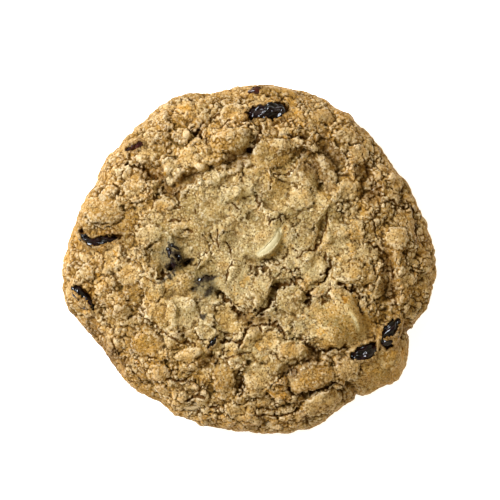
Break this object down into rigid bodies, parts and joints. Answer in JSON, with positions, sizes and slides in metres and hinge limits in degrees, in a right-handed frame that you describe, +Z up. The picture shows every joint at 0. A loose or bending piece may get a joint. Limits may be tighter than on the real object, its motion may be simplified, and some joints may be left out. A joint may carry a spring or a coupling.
{
  "type": "oatmeal cookie",
  "caption": "Round oatmeal cookie with a craggy cracked crust, oat flakes in its skin, raisins and pale chips set in pockets, and a flat underside to rest on.",
  "frame": {"origin": "on the plane of the flat underside, below the middle of the box", "axes": "+Z up through the crust, +X towards the right shoulder, +Y towards the edge with the single long raisin"},
  "size_m": [0.0942, 0.0878, 0.0169],
  "materials": {
    "dough": "baked dough crust, dry and matt, golden with browner crags",
    "raisin": "wrinkled dried-fruit skin, near black with a soft gloss",
    "chip": "softened pale chip, cream and slightly waxy, browned on top"
  },
  "bodies": {
    "root": {"dough": "dough", "raisin_top": "raisin", "raisin_left": "raisin", "raisin_left_low": "raisin", "raisin_rim": "raisin", "raisin_top_rim": "raisin", "raisin_hollow": "raisin", "raisin_veiled": "raisin", "raisin_sliver": "raisin", "raisin_lobe_upper": "raisin", "raisin_lobe_lower": "raisin", "chip_middle": "chip", "chip_dome": "chip"}
  },
  "joints": []
}
